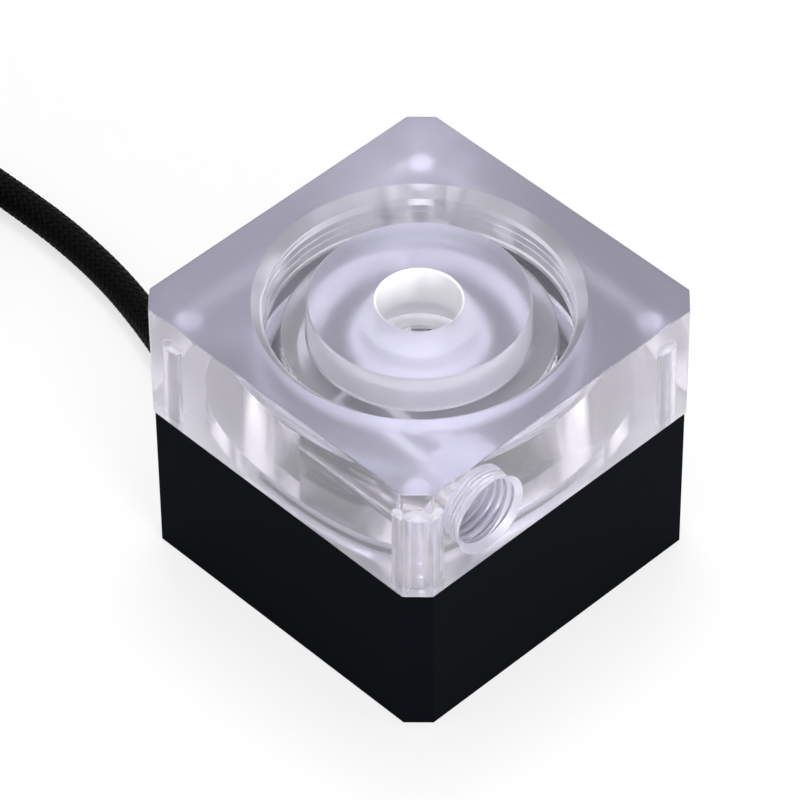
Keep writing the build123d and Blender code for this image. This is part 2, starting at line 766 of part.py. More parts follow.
# Heat-shrink boot at the end of the sleeve
coil_centre = Vector(coil_x, coil_y, 0)
boot_out = Vector(1, 0, 0).rotate(Axis.Z, tail_to)
boot_way = boot_out.rotate(Axis.Z, 90)
boot_start = coil_centre + boot_out * tail_radius
boot_start = boot_start + Vector(0, 0, coil_foot + coil_height + boot_start_radius + plug_rest)
boot_plane = Plane(origin=boot_start, x_dir=boot_out, z_dir=boot_way)
with BuildPart() as cable_boot:
    with BuildSketch(boot_plane):
        Circle(boot_start_radius)
    with BuildSketch(boot_plane.offset(boot_length)):
        Circle(boot_end_radius)
    loft()
cable_boot.part.label = "cable_boot"

# Four-way power plug, resting on the coil
plug_out = Vector(1, 0, 0).rotate(Axis.Z, plug_angle)
plug_way = plug_out.rotate(Axis.Z, 90)
plug_middle = coil_centre + plug_out * plug_circle
plug_z = coil_foot + coil_height + plug_rest + plug_height / 2
plug_back = plug_middle - plug_way * (plug_length / 2) + Vector(0, 0, plug_z)
plug_plane = Plane(origin=plug_back, x_dir=plug_out, z_dir=plug_way)
with BuildPart() as plug_housing:
    with BuildSketch(plug_plane):
        RectangleRounded(plug_width, plug_height, plug_round)
    extrude(amount=plug_length)
    with BuildSketch(plug_plane.offset(plug_length)):
        with GridLocations(plug_pitch, 0, contact_count, 1):
            Circle(socket_radius)
    extrude(amount=-socket_depth, mode=Mode.SUBTRACT)
plug_housing.part.label = "plug_housing"

with BuildPart() as plug_contacts:
    with BuildSketch(plug_plane.offset(plug_length - socket_depth)):
        with GridLocations(plug_pitch, 0, contact_count, 1):
            Circle(contact_radius)
            Circle(contact_bore, mode=Mode.SUBTRACT)
    extrude(amount=contact_length)
plug_contacts.part.label = "plug_contacts"

# Four wires that fan out from the boot to the plug
wire_paths = []
wire_places = [(1, 1), (1, -1), (-1, -1), (-1, 1)]
for number, (across, up) in enumerate(wire_places):
    wire_start = boot_plane.from_local_coords(
        (across * wire_spread, up * wire_spread, boot_length)
    )
    wire_end_x = ((contact_count - 1) / 2 - number) * plug_pitch
    wire_end = plug_plane.from_local_coords((wire_end_x, 0, 0))
    with BuildLine() as wire_path:
        FilletPolyline(
            wire_start,
            wire_start + boot_way * wire_straight,
            wire_end - plug_way * wire_straight,
            wire_end,
            radius=wire_bend,
        )
    wire_paths.append(wire_path.line)
with BuildPart() as plug_leads:
    for path in wire_paths:
        with BuildSketch(Plane(origin=path @ 0, z_dir=path % 0)):
            Circle(wire_radius)
        sweep(path=path)
plug_leads.part.label = "plug_leads"

pieces = [
    base_shell, motor_deck, top_block, chamber_seal, clamp_screws,
    impeller, rotor_magnet, rotor_liner, bearing_cup, bearing_ball, pivot_post,
    stator_core, coil_bobbins, stator_coils,
    circuit_board, board_screws, driver_chips, thermal_pad, capacitors, hall_sensor,
    internal_leads, cable_grommet, supply_cable, cable_coil, cable_tie, cable_boot,
    plug_leads, plug_housing, plug_contacts,
]
for piece in pieces:
    export_step(piece.part, f"parts/{piece.part.label}.step")
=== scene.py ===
# %% [markdown]
# # A liquid cooling pump
# A small square pump for a computer's cooling loop: a black motor housing, a clear acrylic block
# that holds the pump chamber and a threaded socket for a reservoir, and a sleeved supply cable.
# The CAD model gives every place and size. This scene gives the finish: clear plastic with cut
# threads, matt black metal, a woven sleeve, and the small parts that show through the block.

# %% Load the frame
import math

import bmesh
import bpy
from mathutils import Matrix, Vector


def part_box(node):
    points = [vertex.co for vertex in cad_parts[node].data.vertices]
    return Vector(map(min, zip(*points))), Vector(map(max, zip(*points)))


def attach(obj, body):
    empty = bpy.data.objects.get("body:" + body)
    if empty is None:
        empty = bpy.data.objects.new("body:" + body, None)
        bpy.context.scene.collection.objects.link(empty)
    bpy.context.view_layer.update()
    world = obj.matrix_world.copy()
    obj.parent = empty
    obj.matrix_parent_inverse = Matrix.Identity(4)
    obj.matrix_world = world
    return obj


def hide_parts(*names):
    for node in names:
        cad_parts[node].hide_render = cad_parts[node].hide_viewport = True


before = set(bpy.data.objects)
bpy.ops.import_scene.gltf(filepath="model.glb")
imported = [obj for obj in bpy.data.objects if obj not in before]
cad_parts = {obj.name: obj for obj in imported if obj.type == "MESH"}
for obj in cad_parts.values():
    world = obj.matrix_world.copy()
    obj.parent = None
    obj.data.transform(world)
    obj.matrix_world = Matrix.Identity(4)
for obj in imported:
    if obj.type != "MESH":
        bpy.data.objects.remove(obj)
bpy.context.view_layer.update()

mm = 0.001

# %% [markdown]
# ## The sizes that the scene needs
# The boxes of the CAD nodes give the outer sizes. The few inner sizes that no box gives, such as
# the depth of the socket in the top, are written here once, in millimetres.

# %% Sizes of the clear block, in millimetres
low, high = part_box("top_block")
side = (high[0] - low[0]) / mm
bottom_z = low[2] / mm
top_z = high[2] / mm
corner = 3.3
mouth_radius = 25.85
thread_radius = 24.2
groove_depth = 8.2
land_depth = 6.5
land_radius = 21.4
boss_radius = 17.4
inlet_radius = 6.65
inlet_depth = 7.0
eye_bore_radius = 9.0
recess_radius = 26.0
recess_top = bottom_z + 2.0
chamber_top = recess_top + 8.6
volute_swell = 0.714
port_y, port_z = -15.5, 38.1
port_radius, port_mouth, port_depth = 5.72, 6.9, 9.5
passage_radius = 3.7
volute_radius = passage_radius - port_y - 3.5 * volute_swell
screw_place = 25.0
screw_hole = 2.05
screw_hole_top = bottom_z + 15.0
edge_break = 0.25
round_steps = 256
print("block", side, "wide, from", bottom_z, "to", top_z)

# %% [markdown]
# ## The camera
# The camera was fitted to the corners of the block: its place is a distance from the middle of the
# pump along an azimuth and an elevation. A long lens keeps the block's edges almost parallel. The
# small shift puts the pump as far off the middle of the picture as it is in the photo.

# %% Camera
look_at = Vector((0, 0, 25 * mm))
azimuth, elevation, roll = (math.radians(v) for v in (45.75, 45.585, -0.386))
distance = 885.64 * mm
focal_pixels, picture_pixels, sensor = 5656, 800, 36.0
offset_right, offset_down = 20.09, 19.91


def aim(azimuth, elevation, roll):
    """The camera's axes as a rotation: right, up and back."""
    flat = math.cos(elevation)
    back = Vector((math.sin(azimuth) * flat, -math.cos(azimuth) * flat, math.sin(elevation)))
    right = Vector((math.cos(azimuth), math.sin(azimuth), 0))
    up = back.cross(right)
    turned_right = right * math.cos(roll) + up * math.sin(roll)
    turned_up = up * math.cos(roll) - right * math.sin(roll)
    return Matrix((turned_right, turned_up, back)).transposed(), back


turn, back = aim(azimuth, elevation, roll)
camera_data = bpy.data.cameras.new("camera")
camera_data.sensor_width = sensor
camera_data.lens = focal_pixels / picture_pixels * sensor
camera_data.shift_x = -offset_right / picture_pixels
camera_data.shift_y = offset_down / picture_pixels
camera_data.clip_start, camera_data.clip_end = 0.01, 20
camera = bpy.data.objects.new("camera", camera_data)
camera.matrix_world = Matrix.Translation(look_at + back * distance) @ turn.to_4x4()
bpy.context.collection.objects.link(camera)
bpy.context.scene.camera = camera
bpy.context.scene.view_settings.view_transform = "Standard"
print("lens", round(camera_data.lens, 1), "mm, from", [round(v, 3) for v in camera.location])

# %% [markdown]
# ## Helpers for meshes
# Most pieces here are turned or cut parts, so three helpers carry the work: one turns a profile
# about the vertical axis, one raises an outline to a prism, and one cuts a tool out of a piece with
# an exact boolean. Each finished mesh keeps its place in its own points, with the object at the
# origin.


# %% Mesh helpers
def new_object(name, mesh):
    obj = bpy.data.objects.new(name, mesh)
    bpy.context.collection.objects.link(obj)
    return obj


def finish_mesh(bm, name, scale=mm):
    """The bmesh, in millimetres, as an object in metres with its faces turned outwards."""
    bmesh.ops.remove_doubles(bm, verts=bm.verts, dist=1e-5)
    bmesh.ops.recalc_face_normals(bm, faces=bm.faces)
    bmesh.ops.scale(bm, vec=(scale,) * 3, verts=bm.verts)
    mesh = bpy.data.meshes.new(name)
    bm.to_mesh(mesh)
    bm.free()
    return new_object(name, mesh)


def turned(name, profile, steps=round_steps, matrix=None):
    """A closed profile of (radius, height) points, turned about the Z axis."""
    bm = bmesh.new()
    rings = []
    for step in range(steps):
        angle = math.tau * step / steps
        along = (math.cos(angle), math.sin(angle))
        rings.append([bm.verts.new((r * along[0], r * along[1], z)) for r, z in profile])
    for step, ring in enumerate(rings):
        following = rings[(step + 1) % steps]
        for i in range(len(profile)):
            j = (i + 1) % len(profile)
            if profile[i][0] > 0 or profile[j][0] > 0:
                bm.faces.new((ring[i], following[i], following[j], ring[j]))
    if matrix is not None:
        bmesh.ops.transform(bm, matrix=matrix, verts=bm.verts)
    bmesh.ops.remove_doubles(bm, verts=bm.verts, dist=1e-5)
    bmesh.ops.dissolve_degenerate(bm, dist=1e-6, edges=bm.edges)
    return finish_mesh(bm, name)


def prism(name, outline, foot, top):
    """An outline of (x, y) points, raised from foot to top."""
    bm = bmesh.new()
    face = bm.faces.new([bm.verts.new((x, y, foot)) for x, y in outline])
    raised = bmesh.ops.extrude_face_region(bm, geom=[face])["geom"]
    lifted = [v for v in raised if isinstance(v, bmesh.types.BMVert)]
    bmesh.ops.translate(bm, vec=(0, 0, top - foot), verts=lifted)
    return finish_mesh(bm, name)


def settle(obj):
    """Puts the modifiers' result into the object's own mesh."""
    graph = bpy.context.evaluated_depsgraph_get()
    mesh = bpy.data.meshes.new_from_object(obj.evaluated_get(graph))
    obj.modifiers.clear()
    obj.data = mesh
    return obj


def cut(obj, *tools):
    """Cuts the tools out of the object, one after the other, and deletes them."""
    for tool in tools:
        boolean = obj.modifiers.new("cut", "BOOLEAN")
        boolean.operation, boolean.solver, boolean.object = "DIFFERENCE", "EXACT", tool
        settle(obj)
        bpy.data.objects.remove(tool)
    return obj


def bevel(obj, width, segments=2, angle=40):
    modifier = obj.modifiers.new("bevel", "BEVEL")
    modifier.width, modifier.segments = width * mm, segments
    modifier.limit_method, modifier.angle_limit = "ANGLE", math.radians(angle)
    return settle(obj)


def smooth(obj, angle=30):
    """Smooth shading, with the edges sharper than the angle left sharp."""
    obj.data.shade_smooth()
    obj.data.set_sharp_from_angle(angle=math.radians(angle))
    return obj


# %% [markdown]
# ## Helpers for Geometry Nodes
# A thread is one profile that follows a helix, so it suits Geometry Nodes: a Spiral curve, a small
# square on its corner as its profile, and Curve to Mesh. The tree has named inputs for its sizes,
# so the same tree cuts the reservoir socket, the outlet port and the screws.


# %% Node helpers
def named_tree(name, inputs):
    """An empty Geometry Nodes tree with a geometry output and the named inputs."""
    tree = bpy.data.node_groups.new(name, "GeometryNodeTree")
    tree.interface.new_socket("Geometry", in_out="INPUT", socket_type="NodeSocketGeometry")
    for label, kind, value in inputs:
        socket = tree.interface.new_socket(label, in_out="INPUT", socket_type=kind)
        if value is not None:
            socket.default_value = value
    tree.interface.new_socket("Geometry", in_out="OUTPUT", socket_type="NodeSocketGeometry")
    return tree


def run_tree(obj, tree, values):
    """Runs the tree on the object with these inputs, and keeps the result as a plain mesh."""
    modifier = obj.modifiers.new(tree.name, "NODES")
    modifier.node_group = tree
    for item in tree.interface.items_tree:
        if item.item_type == "SOCKET" and item.in_out == "INPUT" and item.name in values:
            modifier[item.identifier] = values[item.name]
    return settle(obj)


def thread_tree():
    """A helical ridge: a Spiral, swept by a small square on its corner, that fades at its ends."""
    number, whole = "NodeSocketFloat", "NodeSocketInt"
    tree = named_tree("thread_ridge", [
        ("Radius", number, 0.01), ("Pitch", number, 0.001), ("Turns", number, 4.0),
        ("Depth", number, 0.0005), ("Steps", whole, 64), ("Material", "NodeSocketMaterial", None),
    ])
    nodes, link = tree.nodes, tree.links.new
    given = nodes.new("NodeGroupInput")
    spiral = nodes.new("GeometryNodeCurveSpiral")
    height = nodes.new("ShaderNodeMath")
    height.operation = "MULTIPLY"
    profile = nodes.new("GeometryNodeCurvePrimitiveCircle")
    profile.mode = "RADIUS"
    profile.inputs["Resolution"].default_value = 4
    where = nodes.new("GeometryNodeSplineParameter")
    from_middle = nodes.new("ShaderNodeMath")
    from_middle.operation = "PINGPONG"
    from_middle.inputs[1].default_value = 0.5
    fade = nodes.new("ShaderNodeMapRange")
    fade.inputs["From Max"].default_value = 0.03
    fade.inputs["To Min"].default_value = 0.1
    sweep = nodes.new("GeometryNodeCurveToMesh")
    sweep.inputs["Fill Caps"].default_value = True
    real = nodes.new("GeometryNodeRealizeInstances")
    paint = nodes.new("GeometryNodeSetMaterial")
    out = nodes.new("NodeGroupOutput")
    link(given.outputs["Steps"], spiral.inputs["Resolution"])
    link(given.outputs["Turns"], spiral.inputs["Rotations"])
    link(given.outputs["Radius"], spiral.inputs["Start Radius"])
    link(given.outputs["Radius"], spiral.inputs["End Radius"])
    link(given.outputs["Pitch"], height.inputs[0])
    link(given.outputs["Turns"], height.inputs[1])
    link(height.outputs[0], spiral.inputs["Height"])
    link(given.outputs["Depth"], profile.inputs["Radius"])
    link(where.outputs["Factor"], from_middle.inputs[0])
    link(from_middle.outputs[0], fade.inputs["Value"])
    link(fade.outputs["Result"], sweep.inputs["Scale"])
    link(spiral.outputs["Curve"], sweep.inputs["Curve"])
    link(profile.outputs["Curve"], sweep.inputs["Profile Curve"])
    link(sweep.outputs["Mesh"], real.inputs["Geometry"])
    link(real.outputs["Geometry"], paint.inputs["Geometry"])
    link(given.outputs["Material"], paint.inputs["Material"])
    link(paint.outputs["Geometry"], out.inputs["Geometry"])
    return tree


thread_nodes = thread_tree()


def thread(name, radius, pitch, turns, depth, steps, matrix):
    """A thread's helix as an object, for cutting or for adding."""
    obj = new_object(name, bpy.data.meshes.new(name))
    run_tree(obj, thread_nodes, {
        "Radius": radius * mm, "Pitch": pitch * mm, "Turns": turns, "Depth": depth * mm,
        "Steps": steps,
    })
    bm = bmesh.new()
    bm.from_mesh(obj.data)
    bmesh.ops.remove_doubles(bm, verts=bm.verts, dist=1e-7)
    bmesh.ops.recalc_face_normals(bm, faces=bm.faces)
    bm.to_mesh(obj.data)
    bm.free()
    obj.data.transform(matrix)
    return obj


# %% [markdown]
# ## The clear block
# On the real pump this is one milled piece of acrylic. Its look comes from what the light does
# inside it, so it is built as the closed solid that it is, with every cavity cut into it: the
# socket and its thread, the inlet, the volute, the outlet with its thread, the seal recess and the
# four blind screw holes. It stands a hair above the deck, because the thin film of air under the
# real block is what turns its sides into mirrors.


# %% Outlines
def square_outline(width, leg):
    """A square with chamfered corners."""
    half, inner = width / 2, width / 2 - leg
    return [
        (half, -inner), (half, inner), (inner, half), (-inner, half),
        (-half, inner), (-half, -inner), (-inner, -half), (inner, -half),
    ]


def volute_outline(steps=48):
    """Four quarter arcs, each a little wider, with centres on the corners of a small square."""
    h = volute_swell / 2
    points = []
    for quarter, (x, y) in enumerate([(h, h), (-h, h), (-h, -h), (h, -h)]):
        radius = volute_radius + quarter * volute_swell
        for step in range(steps + (quarter == 3)):
            angle = math.radians(90 * (quarter - 1 + step / steps))
            points.append((x + radius * math.cos(angle), y + radius * math.sin(angle)))
    return points


# %% Cutting tools, in millimetres
air_film = 0.02
above, below = top_z + 1, bottom_z - 1
overlap = 0.5
rim = 0.3
fine_rim = 0.1
port_steps, hole_steps = 128, 48
drill_tip = 1.1
socket = turned("tool_socket", [
    (boss_radius - rim, above), (boss_radius - rim, top_z), (boss_radius, top_z - rim),
    (boss_radius, top_z - land_depth + rim), (boss_radius + rim, top_z - land_depth),
    (land_radius - fine_rim, top_z - land_depth), (land_radius, top_z - land_depth - fine_rim),
    (land_radius, top_z - groove_depth + rim), (land_radius + rim, top_z - groove_depth),
    (thread_radius - rim, top_z - groove_depth), (thread_radius, top_z - groove_depth + rim),
    (thread_radius, top_z - mouth_radius + thread_radius), (mouth_radius, top_z),
    (mouth_radius, above),
])
inlet = turned("tool_inlet", [
    (0, chamber_top - overlap), (eye_bore_radius, chamber_top - overlap),
    (eye_bore_radius, top_z - inlet_depth), (inlet_radius, top_z - inlet_depth),
    (inlet_radius, top_z - rim), (inlet_radius + rim, top_z), (inlet_radius + rim, above),
    (0, above),
])
recess = turned("tool_recess", [
    (0, below), (recess_radius, below), (recess_radius, recess_top), (0, recess_top),
])
volute = prism("tool_volute", volute_outline(), recess_top - overlap, chamber_top)
to_port = Matrix.Translation((side / 2, port_y, port_z)) @ Matrix.Rotation(math.pi / 2, 4, "Y")
slope = port_mouth - port_radius
port = turned("tool_port", [
    (0, 1), (port_mouth, 1), (port_mouth, 0), (port_radius, -slope),
    (port_radius, -port_depth), (passage_radius, -port_depth),
    (passage_radius, -side / 2), (0, -side / 2),
], port_steps, to_port)
print("tools", socket.name, inlet.name, recess.name, volute.name, port.name)

# %% Cutting the block
block = prism("top_block_clear", square_outline(side, corner), bottom_z + air_film, top_z)
bevel(block, edge_break)
cut(block, socket, inlet, recess, volute, port)
corners = [(x, y) for x in (-screw_place, screw_place) for y in (-screw_place, screw_place)]
for x, y in corners:
    hole = turned("tool_hole", [
        (0, below), (screw_hole, below), (screw_hole, screw_hole_top - drill_tip),
        (0, screw_hole_top),
    ], hole_steps, Matrix.Translation((x, y, 0)))
    cut(block, hole)
print("block before threads", len(block.data.polygons), "faces")

# %% Threads in the socket and in the outlet
socket_thread = {"pitch": 1.5, "depth": 0.72, "turns": 3.5, "start": 7.6}
outlet_thread = {"pitch": 1.337, "depth": 0.64, "turns": 6.0, "start": 9.2}
socket_helix = thread(
    "tool_socket_thread", thread_radius + 0.05, socket_thread["pitch"], socket_thread["turns"],
    socket_thread["depth"], 128,
    Matrix.Translation((0, 0, (top_z - socket_thread["start"]) * mm)),
)
outlet_helix = thread(
    "tool_outlet_thread", port_radius + 0.1, outlet_thread["pitch"], outlet_thread["turns"],
    outlet_thread["depth"], 64,
    Matrix.Translation((mm * (side / 2 - outlet_thread["start"]), mm * port_y, mm * port_z))
    @ Matrix.Rotation(math.pi / 2, 4, "Y"),
)
cut(block, socket_helix, outlet_helix)
smooth(block, 20)
print("block with threads", len(block.data.polygons), "faces")

# %% Placement
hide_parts("top_block")
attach(block, "pump")


# %% [markdown]
# ## Clamp screws
# Four socket head screws hold the block, from below. The plain solids have no thread. Here the
# shank is cut down to the thread's root and gets its ridge from the same tree as the socket's.

# %% Clamp screws
head_foot, head_top, screw_top = 0.6, 4.6, bottom_z + 10.1
head_radius, shank_radius, root_radius, thread_start = 3.5, 2.0, 1.8, bottom_z - 3
hexagon_radius, hexagon_depth = 1.75, 2.2
head_break, tip_break = 0.3, 0.4
screw_thread = {"pitch": 0.7, "depth": 0.18, "turns": 17.5}


def clamp_screw(x, y):
    """One M4 screw: a head with a hexagonal socket, a plain shank and a threaded end."""
    place = Matrix.Translation((x, y, 0))
    body = turned("screw", [
        (0, head_foot), (head_radius - head_break, head_foot),
        (head_radius, head_foot + head_break),
        (head_radius, head_top), (shank_radius, head_top), (shank_radius, thread_start),
        (root_radius, thread_start + head_break), (root_radius, screw_top - tip_break),
        (root_radius - tip_break, screw_top), (0, screw_top),
    ], hole_steps, place)
    hexagon = [
        (x + hexagon_radius * math.cos(angle), y + hexagon_radius * math.sin(angle))
        for angle in (math.tau * k / 6 for k in range(6))
    ]
    cut(body, prism("tool_hexagon", hexagon, head_foot - 1, head_foot + hexagon_depth))
    ridge = thread(
        "ridge", root_radius, screw_thread["pitch"], screw_thread["turns"],
        screw_thread["depth"], 32,
        Matrix.Translation((x * mm, y * mm, (thread_start + tip_break) * mm)),
    )
    return [body, ridge]


def joined(name, pieces):
    """The pieces as one object with one mesh."""
    bm = bmesh.new()
    for piece in pieces:
        bm.from_mesh(piece.data)
        bpy.data.objects.remove(piece)
    mesh = bpy.data.meshes.new(name)
    bm.to_mesh(mesh)
    bm.free()
    return new_object(name, mesh)


screws = joined("clamp_screws_threaded", sum((clamp_screw(x, y) for x, y in corners), []))
smooth(screws, 25)
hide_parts("clamp_screws")
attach(screws, "pump")
print("clamp screws", len(screws.data.polygons), "faces")


# %% [markdown]
# ## Materials
# Each finish is a short function. Numbers that are the same all over sit on the shader's sockets.
# Patterns read Object coordinates, so they stay on the piece when it turns.


# %% Shader helpers
def principled(name, colour, **numbers):
    """A material with one Principled shader, and its nodes and links for more."""
    material = bpy.data.materials.new(name)
    material.use_nodes = True
    shader = material.node_tree.nodes["Principled BSDF"]
    shader.inputs["Base Color"].default_value = (*colour, 1)
    for label, value in numbers.items():
        shader.inputs[label.replace("_", " ")].default_value = value
    return material


def object_point(material):
    return material.node_tree.nodes.new("ShaderNodeTexCoord").outputs["Object"]


def add_node(material, kind, **settings):
    node = material.node_tree.nodes.new(kind)
    for key, value in settings.items():
        if key in node.inputs:
            node.inputs[key].default_value = value
        else:
            setattr(node, key, value)
    return node


def grain(material, scale, strength, depth=0.0001, roughness=None):
    """Fine noise on the surface as a bump and, if asked, as a change of roughness."""
    link = material.node_tree.links.new
    shader = material.node_tree.nodes["Principled BSDF"]
    noise = add_node(material, "ShaderNodeTexNoise", Scale=scale, Detail=4.0)
    link(object_point(material), noise.inputs["Vector"])
    bump = add_node(material, "ShaderNodeBump", Strength=strength, Distance=depth)
    link(noise.outputs["Fac"], bump.inputs["Height"])
    link(bump.outputs["Normal"], shader.inputs["Normal"])
    if roughness:
        spread = add_node(material, "ShaderNodeMapRange")
        spread.inputs["To Min"].default_value, spread.inputs["To Max"].default_value = roughness
        link(noise.outputs["Fac"], spread.inputs["Value"])
        link(spread.outputs["Result"], shader.inputs["Roughness"])
    return material


# %% [markdown]
# ### Clear acrylic
# The block is one plastic with several finishes. Its sides are polished. Its top was faced on a
# lathe: it is frosted, so it glows over the corners and shows nothing sharp, and its fine rings
# spread each reflection to a bow tie. The grey of its top is painted shade, on its outer side
# alone; seen from inside, the same face has a lighter colour. The floor of the groove is clear.
# The inlet is bored and scatters most of its light. The outlet is tapped, rougher and greyer.
# The pump chamber is smooth. The walls that a cutter left elsewhere are satin.


# %% Acrylic helpers
def acrylic(name, colour, roughness, transmission, **numbers):
    return principled(
        name, colour, Roughness=roughness, Transmission_Weight=transmission, IOR=1.49, **numbers,
    )


def turning_marks(material, pitch, strength):
    """Fine rings about the Z axis, as a lathe leaves them, with anisotropic reflections."""
    link = material.node_tree.links.new
    shader = material.node_tree.nodes["Principled BSDF"]
    rings = add_node(
        material, "ShaderNodeTexWave", wave_type="RINGS", rings_direction="Z",
        Scale=math.tau / (20 * pitch * mm), Distortion=1.5, Detail=2.0,
    )
    link(object_point(material), rings.inputs["Vector"])
    bump = add_node(material, "ShaderNodeBump", Strength=strength, Distance=0.00002)
    link(rings.outputs["Fac"], bump.inputs["Height"])
    link(bump.outputs["Normal"], shader.inputs["Normal"])
    tangent = add_node(material, "ShaderNodeTangent", direction_type="RADIAL", axis="Z")
    link(tangent.outputs["Tangent"], shader.inputs["Tangent"])
    return material


def two_colours(material, second, choice):
    """Mixes a second colour into the material's own where the choice is 1."""
    link = material.node_tree.links.new
    shader = material.node_tree.nodes["Principled BSDF"]
    own = tuple(shader.inputs["Base Color"].default_value)
    mix = add_node(material, "ShaderNodeMix", data_type="RGBA")
    factor, colour_a, colour_b = (mix.inputs[i] for i in (0, 6, 7))
    colour_a.default_value, colour_b.default_value = own, (*second, 1)
    link(choice, factor)
    link(mix.outputs[2], shader.inputs["Base Color"])
    return material


def painted_shade_outside(material, inner):
    """Painted shade: the material's own colour on the outer side only, and the lighter inner one
    inside the plastic.
    """
    geometry = add_node(material, "ShaderNodeNewGeometry")
    return two_colours(material, inner, geometry.outputs["Backfacing"])


# %% Clear acrylic
polished = grain(acrylic("acrylic_polished", (0.95, 0.915, 1.0), 0.09, 0.88), 300, 0.01)
# The faced top's grey outer colour is painted shade; seen from inside, it has a lighter colour.
faced = painted_shade_outside(turning_marks(
    acrylic("acrylic_faced", (0.80, 0.78, 0.99), 0.35, 0.88, Metallic=0.07, Anisotropic=0.9,
            Anisotropic_Rotation=0.25), 0.25, 0.1), (0.97, 0.96, 1.0))
clear = grain(acrylic("acrylic_clear", (0.93, 0.93, 1.0), 0.09, 0.97), 900, 0.03)
milled = grain(acrylic("acrylic_milled", (0.91, 0.895, 1.0), 0.29, 0.83), 1500, 0.02)
bored = grain(acrylic("acrylic_bored", (0.985, 0.98, 1.0), 0.4, 0.25), 1500, 0.02)
chamber = grain(acrylic("acrylic_chamber", (0.94, 0.92, 1.0), 0.22, 0.98), 1500, 0.02)
tapped = grain(acrylic("acrylic_tapped", (0.80, 0.785, 0.90), 0.35, 0.6), 1500, 0.02)
block_finishes = [polished, faced, clear, milled, bored, chamber, tapped]


def block_finish(face):
    """The finish of one face of the block, from where it lies and which way it looks."""
    x, y, z = face.center / mm
    points = [block.data.vertices[i].co / mm for i in face.vertices]
    away = max(math.hypot(p.x, p.y) for p in points)
    outward = max(abs(x), abs(y), (abs(x) + abs(y) + corner) / 2)
    near = 0.1
    if z > top_z - near / 2:
        return faced
    if outward > side / 2 - edge_break - near / 2:
        return polished
    in_groove = land_radius < away < thread_radius - near
    if in_groove and top_z - groove_depth - near < z < top_z - land_depth - 2 * near:
        return clear
    if away < eye_bore_radius + near and z > chamber_top:
        return bored
    if x > side / 2 - port_depth - near and math.hypot(y - port_y, z - port_z) < port_mouth:
        return tapped
    if z < top_z - groove_depth - near and abs(x) < screw_place - screw_hole:
        return chamber
    return milled


def give(name, material):
    """Puts the material on a CAD node or a piece, in place of what it had."""
    obj = bpy.data.objects[name]
    obj.data.materials.clear()
    obj.data.materials.append(material)


block.data.materials.clear()
for finish in block_finishes:
    block.data.materials.append(finish)
for face in block.data.polygons:
    face.material_index = block_finishes.index(block_finish(face))
print("block finishes", [f.name for f in block_finishes])


# %% [markdown]
# ### Plain finishes
# The housing is matt black and the deck under the block is dark. The impeller is painted white
# round its eye, which shows down the inlet, as painted light, and dark outside it as painted shade.
# The seal is pale silicone. The small parts get the plain colours of steel, copper, ceramic and
# moulded plastic.


# %% Finish by the distance from the axis
def beyond_radius(material, radius, outer):
    """The material's own colour within the radius about the Z axis, and another outside it."""
    link = material.node_tree.links.new
    across = add_node(material, "ShaderNodeVectorMath", operation="MULTIPLY")
    across.inputs[1].default_value = (1, 1, 0)
    away = add_node(material, "ShaderNodeVectorMath", operation="LENGTH")
    beyond = add_node(material, "ShaderNodeMath", operation="GREATER_THAN")
    beyond.inputs[1].default_value = radius * mm
    link(object_point(material), across.inputs[0])
    link(across.outputs[0], away.inputs[0])
    link(away.outputs["Value"], beyond.inputs[0])
    return two_colours(material, outer, beyond.outputs[0])


# %% Plain finishes
black = grain(
    principled("black_shell", (0.002, 0.0026, 0.004), Roughness=0.7, Specular_IOR_Level=0.02),
    2500, 0.15, 0.00005,
)
deck = grain(principled("deck_plastic", (0.012, 0.013, 0.02), Roughness=0.45), 900, 0.1)
pale = grain(principled("pale_plastic", (0.55, 0.55, 0.58), Roughness=0.45), 900, 0.1)
# Painted light and shade: the impeller is white within the eye radius, where light falls down the
# inlet, and dark outside it, where it lies in shade.
impeller_lit_and_shaded = grain(principled("impeller_plastic", (0.93, 0.93, 0.96), Roughness=0.5), 900, 0.1)
lit_eye_radius = 11.0
beyond_radius(impeller_lit_and_shaded, lit_eye_radius, (0.012, 0.014, 0.022))
white = grain(principled("ceramic_white", (0.93, 0.93, 0.96), Roughness=0.5), 900, 0.1)
silicone = grain(principled("seal_silicone", (0.50, 0.50, 0.56), Roughness=0.5), 1500, 0.1)
rubber = grain(principled("soft_rubber", (0.008, 0.008, 0.01), Roughness=0.6), 1500, 0.2)
steel = grain(principled("screw_steel", (0.55, 0.55, 0.56), Metallic=1.0, Roughness=0.3), 700, 0.1)
dark = grain(principled("dark_parts", (0.03, 0.03, 0.032), Roughness=0.5), 1200, 0.2)
copper = grain(principled("coil_copper", (0.62, 0.26, 0.10), Metallic=1.0, Roughness=0.35), 600, 0.2)
finishes = {
    "base_shell": black, "motor_deck": deck, "chamber_seal": silicone,
    "clamp_screws_threaded": steel,
    "impeller": impeller_lit_and_shaded, "rotor_magnet": dark, "rotor_liner": steel, "bearing_cup": white,
    "bearing_ball": white, "pivot_post": steel, "stator_core": steel, "coil_bobbins": pale,
    "stator_coils": copper, "circuit_board": dark, "board_screws": steel, "driver_chips": dark,
    "thermal_pad": pale, "capacitors": steel, "hall_sensor": dark, "internal_leads": dark,
    "cable_grommet": rubber, "cable_tie": rubber, "cable_boot": rubber, "plug_leads": rubber,
    "plug_housing": rubber, "plug_contacts": steel,
}
for node, finish in finishes.items():
    give(node, finish)
print("plain finishes on", len(finishes), "pieces")

# %% [markdown]
# ## The supply cable
# The route is the CAD tube's, as the control points of one smooth NURBS spline. The put-away
# length goes on just outside the picture, in turns that lie side by side in the tie. The end climbs
# from the inside onto the turns, with the plug.

